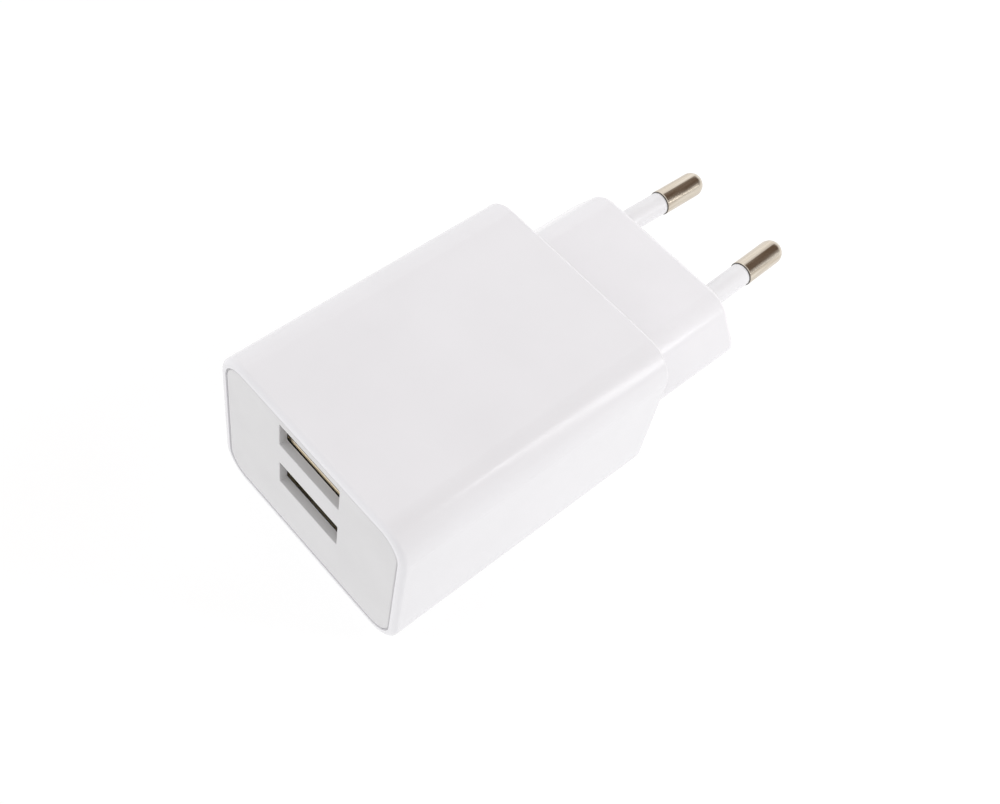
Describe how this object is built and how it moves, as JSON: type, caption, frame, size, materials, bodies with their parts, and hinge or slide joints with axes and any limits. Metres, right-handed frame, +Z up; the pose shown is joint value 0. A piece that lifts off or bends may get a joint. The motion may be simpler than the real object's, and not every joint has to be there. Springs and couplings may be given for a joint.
{
  "type": "usb wall charger",
  "caption": "Compact white mains charger with a two-pin continental plug on a stepped neck and two stacked USB-A sockets in an inset front panel.",
  "frame": {"origin": "under the middle of the whole charger, on the surface that it lies on with a broad face down", "axes": "+Z up, +Y from the socket end towards the plug pins, +X across the width"},
  "size_m": [0.0384, 0.0864, 0.028],
  "materials": {
    "white_housing": "glossy white moulded polycarbonate",
    "white_panel": "satin white moulded polycarbonate",
    "nickel_pin": "nickel-plated brass, polished",
    "pin_sleeve": "glossy white insulating sleeve",
    "retainer_plastic": "plain moulded plastic",
    "strip_metal": "bare brass strip",
    "socket_steel": "nickel-plated steel sheet",
    "socket_plastic": "black heat-resistant plastic",
    "contact_gold": "gold-flashed bronze",
    "board_laminate": "green solder mask on glass-fibre laminate",
    "solder": "tin solder",
    "ferrite": "grey-black sintered ferrite",
    "bobbin_plastic": "black phenolic",
    "winding_tape": "enamelled copper under yellow polyester tape",
    "capacitor_can": "aluminium can in a dark sleeve with a bare top",
    "copper_wire": "enamelled copper wire",
    "resistor_coat": "green cement coating",
    "disc_coat": "blue epoxy coating",
    "chip_epoxy": "black moulded epoxy",
    "chip_ceramic": "fired ceramic with tinned ends",
    "film": "thin amber insulating film"
  },
  "bodies": {
    "root": {"housing": "white_housing", "front_panel": "white_panel", "contact_pin_left": "nickel_pin", "contact_pin_right": "nickel_pin", "pin_sleeve_left": "pin_sleeve", "pin_sleeve_right": "pin_sleeve", "pin_retainer": "retainer_plastic", "mains_strip_left": "strip_metal", "mains_strip_right": "strip_metal", "usb_shell_upper": "socket_steel", "usb_shell_lower": "socket_steel", "usb_insulator": "socket_plastic", "usb_contacts_upper": "contact_gold", "usb_contacts_lower": "contact_gold", "circuit_board": "board_laminate", "solder_joints": "solder", "transformer_core_lower": "ferrite", "transformer_core_upper": "ferrite", "transformer_bobbin": "bobbin_plastic", "transformer_pins": "solder", "transformer_winding": "winding_tape", "output_capacitor_1": "capacitor_can", "output_capacitor_2": "capacitor_can", "input_capacitor_1": "capacitor_can", "input_capacitor_2": "capacitor_can", "choke_core": "ferrite", "choke_winding": "copper_wire", "fuse_resistor": "resistor_coat", "disc_capacitor": "disc_coat", "optocoupler": "chip_epoxy", "bridge_rectifier": "chip_epoxy", "power_controller": "chip_epoxy", "output_rectifier": "chip_epoxy", "port_controller": "chip_epoxy", "small_parts": "chip_ceramic", "insulation_sheet": "film"}
  },
  "joints": []
}
